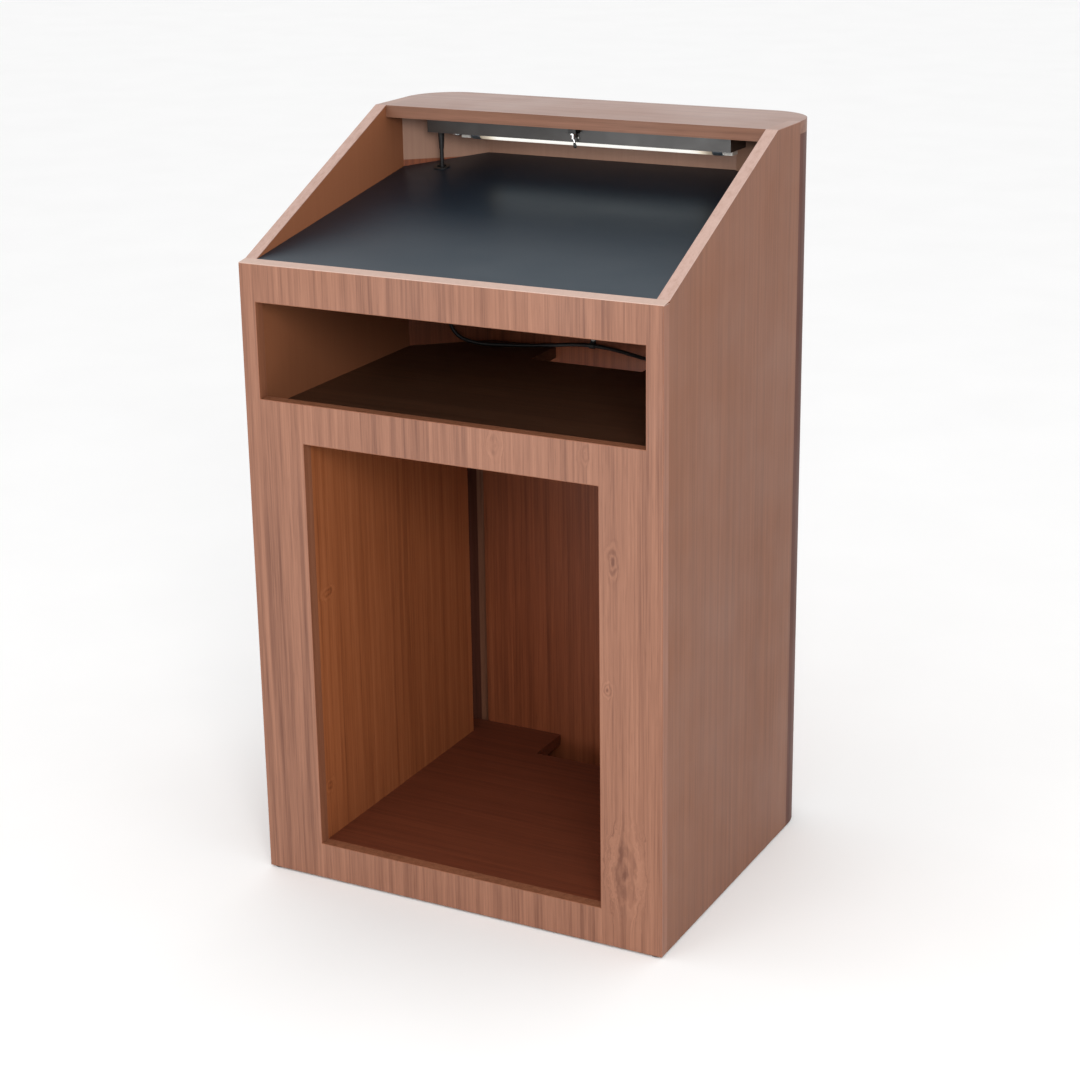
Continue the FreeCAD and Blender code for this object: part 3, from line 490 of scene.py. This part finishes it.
# The side bands' sloping part takes pale tones: a painted highlight, as if lit from above. The level part
# keeps a darker tone without it.
pale_band = laminate("pale_edge_band", tone(202, 172, 160), tone(188, 156, 144), tone(160, 124, 108),
                     along="Y", shift=(1.1, 0.3, 2.7), contrast=0.6, roughness=0.36,
                     second=(past("Y", LEVEL_TOP_Y), tone(158, 120, 104)))
# The face frame's band takes a pale tone along its top lip: a painted highlight.
frame_band = laminate("frame_edge_band", tone(152, 102, 76), tone(136, 86, 62), tone(102, 62, 42),
                      shift=(2.1, 0.3, 2.7), contrast=0.7, roughness=0.38,
                      second=(past("Z", FRAME_LIP_HIGHLIGHT_Z), tone(204, 174, 160)))
# The top panel's paler, greyer tones are a painted reflection of the bright sky over its grain.
top_laminate = laminate("top_laminate", tone(166, 128, 112), tone(152, 114, 98), tone(126, 88, 74),
                        along="X", shift=(0.7, 4.1, 3.3), contrast=0.7, roughness=0.36, sheen=0.5)
top_band = laminate("top_edge_band", tone(146, 102, 82), tone(128, 88, 68), tone(98, 62, 46),
                    along="X", shift=(4.7, 0.2, 1.3), contrast=0.8)
# The liners take darker, redder tones than the front: painted shade inside the lectern. Above the desk's
# rear edge they take a paler tone: painted light.
inner_laminate = laminate("inner_laminate", tone(152, 86, 54), tone(132, 71, 43), tone(98, 48, 27),
                          shift=(2.6, 8.1, 5.5), contrast=0.8,
                          second=(past("Z", LIGHT_POOL_Z), tone(170, 132, 112)))
# The bay deck's darker, redder tones are painted shade in the bay.
deck_laminate = laminate("deck_laminate", tone(124, 66, 44), tone(104, 53, 35), tone(74, 34, 22),
                         along="X", shift=(8.8, 1.9, 4.2), contrast=0.7)
# The shelf's dark tones are painted shade in the shelf compartment.
shelf_laminate = laminate("shelf_laminate", tone(98, 66, 48), tone(78, 51, 36), tone(52, 32, 21),
                          along="X", shift=(3.8, 6.9, 1.2), contrast=0.7, sheen=0.2)
partition_figures = [((-0.245, 0.470), (0.030, 0.016), 0.15), ((-0.262, 0.150), (0.022, 0.018), 0.12)]
# The partitions' redder, more saturated tones than the front are painted bounce light in the bay; their
# figures are grain.
partition_laminate = laminate("partition_laminate", tone(176, 109, 70), tone(157, 92, 55), tone(116, 61, 34),
                              shift=(4.4, 3.8, 2.1), face="YZ", figures=partition_figures, contrast=0.8)

paint(front_laminate, "face_frame")
paint(frame_band, "frame_edge_banding")
paint(side_laminate, "left_side_panel", "right_side_panel")
paint(audience_laminate, "audience_panel")
paint(post_laminate, "left_corner_post", "right_corner_post")
paint(pale_band, "side_edge_banding")
paint(top_laminate, "top_panel")
paint(top_band, "top_edge_banding")
paint(inner_laminate, "back_liner", "left_corner_liner", "right_corner_liner")
paint(shelf_laminate, "shelf")
paint(deck_laminate, "bay_deck")
paint(partition_laminate, "left_bay_partition", "right_bay_partition")


# ---- bare wood and board -----------------------------------------------------------------
def bare_wood(name, pale, deep, along):
    g = Graph(name, IOR=1.45)
    vector = g.place()
    rings = g.noise(g.stretched(vector, grain_scale(along, 90.0, 2.0)), detail=3.0, distortion=0.6)
    fibre = g.noise(g.stretched(vector, grain_scale(along, 900.0, 25.0)), detail=2.0)
    depth = g.maths("MULTIPLY_ADD", fibre, 0.35, g.maths("SUBTRACT", rings, 0.175))
    g.bump(fibre, 0.5, 0.0002)
    return g.finish(Base_Color=g.ramp(depth, [(0.3, deep), (0.7, pale)]),
                    Roughness=g.span(fibre, 0.3, 0.7, 0.6, 0.78))


def painted_underside_shade(name):
    """A dark brown board with fibre and blotches: its darkness is painted shade under the desk."""
    g = Graph(name, IOR=1.45, Specular_IOR_Level=0.3)
    fibre = g.noise(g.stretched(g.place(), (60.0, 420.0, 420.0)), detail=4.0, roughness=0.6)
    blotch = g.noise(g.place(), scale=14.0, detail=3.0)
    g.bump(fibre, 0.3, 0.0001)
    shade = g.ramp(g.maths("MULTIPLY_ADD", blotch, 0.5, g.maths("SUBTRACT", fibre, 0.25)),
                   [(0.3, tone(44, 30, 22)), (0.7, tone(66, 46, 34))])
    return g.finish(Base_Color=shade, Roughness=g.span(fibre, 0.3, 0.7, 0.6, 0.75))


cleat_wood = bare_wood("cleat_wood", tone(205, 174, 128), tone(164, 128, 84), "Y")
runner_wood = bare_wood("runner_wood", tone(196, 164, 118), tone(150, 116, 76), "X")
spline_wood = bare_wood("spline_wood", tone(190, 158, 112), tone(150, 116, 76), "Z")
paint(cleat_wood, "desk_cleats", "shelf_cleats")
paint(runner_wood, "base_runners", "assembly_dowels")
paint(spline_wood, "corner_splines")
# The reading desk's board is painted dark brown as shade under the desk.
paint(painted_underside_shade("desk_underside_painted_shade"), "reading_desk")


# ---- black desk laminate -----------------------------------------------------------------
def desk_black():
    # Black laminate: the blue in its base colour and its specular tint is a painted reflection of a bluish
    # sky; the pale scuffs are wear.
    g = Graph("desk_black_laminate", IOR=1.5, Specular_IOR_Level=0.42, Specular_Tint=(0.2, 0.65, 1.0, 1.0))
    grit = g.noise(g.place(), scale=1500.0, detail=2.0, roughness=0.6)
    smear = g.noise(g.stretched(g.place(), (6.0, 9.0, 6.0)), detail=5.0)
    scuff = g.noise(g.stretched(g.place(), (22.0, 160.0, 40.0), (1.0, 2.0, 0.0)), detail=3.0)
    g.bump(grit, 0.25, 0.00008)
    worn = g.span(scuff, 0.66, 0.78, 0.0, 0.06)
    return g.finish(Base_Color=g.mix(worn, tone(15, 24, 34), tone(92, 98, 104)),
                    Roughness=g.span(smear, 0.3, 0.7, 0.31, 0.37))


paint(desk_black(), "desk_laminate")


# ---- plastics, rubber and metals ---------------------------------------------------------
def shaded(colour, gain, lift=0.0):
    """A colour with its three parts multiplied and raised."""
    return [min(1.0, gain * part + lift) for part in colour[:3]] + [1.0]


def moulded(name, colour, roughness, scale=1400.0, strength=0.3, depth=0.00006, **surface):
    g = Graph(name, **surface)
    grain = g.noise(g.place(), scale=scale, detail=2.0)
    dust = g.noise(g.place(), scale=60.0, detail=4.0)
    shade = g.mix(g.span(dust, 0.35, 0.75, 0.0, 0.22), colour, shaded(colour, 1.5, 0.01))
    g.bump(grain, strength, depth)
    return g.finish(Base_Color=shade, Roughness=g.span(dust, 0.3, 0.7, roughness - 0.05, roughness + 0.08))


def metal(name, colour, roughness, scale=(40.0, 40.0, 900.0), strength=0.15):
    g = Graph(name, Metallic=1.0)
    brushed = g.noise(g.stretched(g.place(), scale), detail=3.0)
    g.bump(brushed, strength, 0.00004)
    shade = g.mix(g.span(brushed, 0.3, 0.7, 0.0, 0.25), colour, shaded(colour, 0.75))
    return g.finish(Base_Color=shade, Roughness=g.span(brushed, 0.3, 0.7, roughness, roughness + 0.1))


def enamel(name, colour, roughness):
    g = Graph(name, Coat_Weight=0.25, Coat_Roughness=0.12)
    peel = g.noise(g.place(), scale=420.0, detail=1.0)
    grime = g.noise(g.place(), scale=35.0, detail=5.0)
    g.bump(peel, 0.2, 0.00008)
    shade = g.mix(g.span(grime, 0.4, 0.8, 0.0, 0.35), colour, shaded(colour, 0.6, 0.004))
    return g.finish(Base_Color=shade, Roughness=g.span(grime, 0.3, 0.7, roughness, roughness + 0.12))


black_plastic = moulded("black_plastic", tone(28, 28, 28), 0.42)
jacket = moulded("cord_jacket", tone(22, 22, 23), 0.48, scale=900.0)
vinyl = moulded("plug_vinyl", tone(26, 26, 27), 0.4)
# The lampholders' and starter socket's white plastic is greyed: painted shade under the lamp housing.
white_plastic = moulded("holder_plastic", tone(190, 188, 182), 0.34, strength=0.15)
dark_enamel = enamel("lamp_enamel", tone(40, 34, 30), 0.34)
white_enamel = enamel("reflector_enamel", tone(238, 238, 232), 0.3)
zinc = metal("zinc", tone(196, 196, 190), 0.28)
chrome = metal("switch_chrome", tone(226, 226, 228), 0.1, strength=0.05)
brass = metal("contact_brass", tone(214, 180, 110), 0.25)
spun = metal("spun_aluminium", tone(226, 226, 226), 0.38, scale=(900.0, 30.0, 30.0))

paint(black_plastic, "desk_grommet", "cord_clip", "floor_glides", "switch_body", "switch_lever_tip")
paint(dark_enamel, "switch_bracket", "lamp_housing", "lamp_end_caps", "compartment_cover", "ballast")
paint(zinc, "cleat_screws", "cord_clip_screw", "glide_nails")
paint(zinc, "lamp_screws", "bracket_rivets", "ballast_screws")
paint(chrome, "switch_bushing", "switch_nut", "switch_lever")
paint(brass, "tube_pins", "plug_blades")
paint(spun, "tube_caps", "starter")
paint(white_plastic, "left_lampholder", "right_lampholder", "starter_socket")
paint(white_enamel, "lamp_reflector")
paint(jacket, "cord_strain_relief")
dress(lamp_cord, jacket)
dress(plug_grip, vinyl)


def woven():
    g = Graph("strap_weave", Sheen_Weight=0.4)
    place = g.place()
    warp = g.add("TexWave", {"Vector": place, "Scale": 220.0}, "Fac", bands_direction="Y")
    weft = g.add("TexWave", {"Vector": place, "Scale": 160.0}, "Fac", bands_direction="X")
    thread = g.maths("MULTIPLY", warp, weft)
    g.bump(thread, 0.7, 0.0002)
    return g.finish(Base_Color=g.ramp(thread, [(0.0, tone(16, 16, 17)), (1.0, tone(52, 52, 54))]),
                    Roughness=g.span(thread, 0.0, 1.0, 0.85, 0.65))


dress(coil_strap, woven())


# ---- lit tube: white phosphor that greys towards its ends --------------------------------
GREY_REACH = (0.018, 0.062)
GREY_PATCHINESS = 0.012


def lit_tube():
    low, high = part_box("fluorescent_tube")
    middle = (low[0] + high[0]) / 2
    half = (high[0] - low[0]) / 2
    g = Graph("lit_tube", IOR=1.5, Roughness=0.12, Emission_Strength=0.75)
    x = g.add("SeparateXYZ", {"Vector": g.place()})
    inward = g.maths("SUBTRACT", half, g.maths("ABSOLUTE", g.maths("SUBTRACT", x, middle)))
    patch = g.noise(g.place(), scale=55.0, detail=3.0)
    lit = g.span(g.maths("MULTIPLY_ADD", patch, GREY_PATCHINESS, inward), *GREY_REACH, smooth=True)
    glow = g.ramp(lit, [(0.0, tone(120, 104, 84)), (0.5, tone(236, 222, 198)), (1.0, tone(255, 252, 244))])
    g.bump(patch, 0.05, 0.0001)
    return g.finish(Base_Color=g.ramp(lit, [(0.0, tone(170, 160, 146)), (1.0, tone(244, 244, 238))]),
                    Emission_Color=glow)


paint(lit_tube(), "fluorescent_tube")


# ---- softened edges on boards and bands --------------------------------------------------
BOARD_ROUNDING = 0.0004
BAND_ROUNDING = 0.0003
SHARP_ANGLE = 50.0


def soften(width, *names):
    for name in names:
        bevel = node_object(name).modifiers.new("softened", "BEVEL")
        bevel.width = width
        bevel.segments = 2
        bevel.limit_method = "ANGLE"
        bevel.angle_limit = math.radians(SHARP_ANGLE)


soften(BOARD_ROUNDING, "left_bay_partition", "right_bay_partition", "shelf", "bay_deck", "back_liner")
soften(BAND_ROUNDING, "frame_edge_banding", "side_edge_banding", "top_edge_banding")


# ---- studio ------------------------------------------------------------------------------
FLOOR_REACH = 60.0
FLOOR_SIDES = 96


def make_floor():
    """A wide round pale floor."""
    turns = [2 * math.pi * side / FLOOR_SIDES for side in range(FLOOR_SIDES)]
    rim = [(FLOOR_REACH * math.cos(turn), FLOOR_REACH * math.sin(turn), 0.0) for turn in turns]
    floor = mesh_object("studio_floor", rim, [tuple(range(FLOOR_SIDES))], smooth=False)
    g = Graph("studio_floor", Specular_IOR_Level=0.15)
    cloud = g.noise(g.place(), scale=3.0, detail=3.0)
    dress(floor, g.finish(Base_Color=g.ramp(cloud, [(0.3, tone(248, 248, 248)), (0.7, tone(250, 250, 250))]),
                          Roughness=g.span(cloud, 0.3, 0.7, 0.7, 0.8)))


def area_light(name, place, target, size, power, colour=(1.0, 1.0, 1.0)):
    data = bpy.data.lights.new(name, "AREA")
    data.shape = "DISK"
    data.size = size
    data.energy = power
    data.color = colour
    light = bpy.data.objects.new(name, data)
    scene.collection.objects.link(light)
    light.location = place
    light.rotation_mode = "QUATERNION"
    light.rotation_quaternion = (Vector(target) - Vector(place)).to_track_quat("-Z", "Y")


def make_world():
    world = bpy.data.worlds.new("studio")
    world.use_nodes = True
    background = world.node_tree.nodes["Background"]
    background.inputs["Color"].default_value = (1.0, 1.0, 1.0, 1.0)
    background.inputs["Strength"].default_value = 1.0
    scene.world = world


scene.view_settings.view_transform = "Standard"
make_floor()
make_world()
area_light("key", place=(1.83, -2.82, 2.15), target=(0.0, -0.2, 1.1), size=1.1, power=45.0,
           colour=(1.0, 0.98, 0.95))
area_light("fill", place=(-0.95, -2.84, 0.55), target=(0.1, -0.29, 1.0), size=1.0, power=12.0)
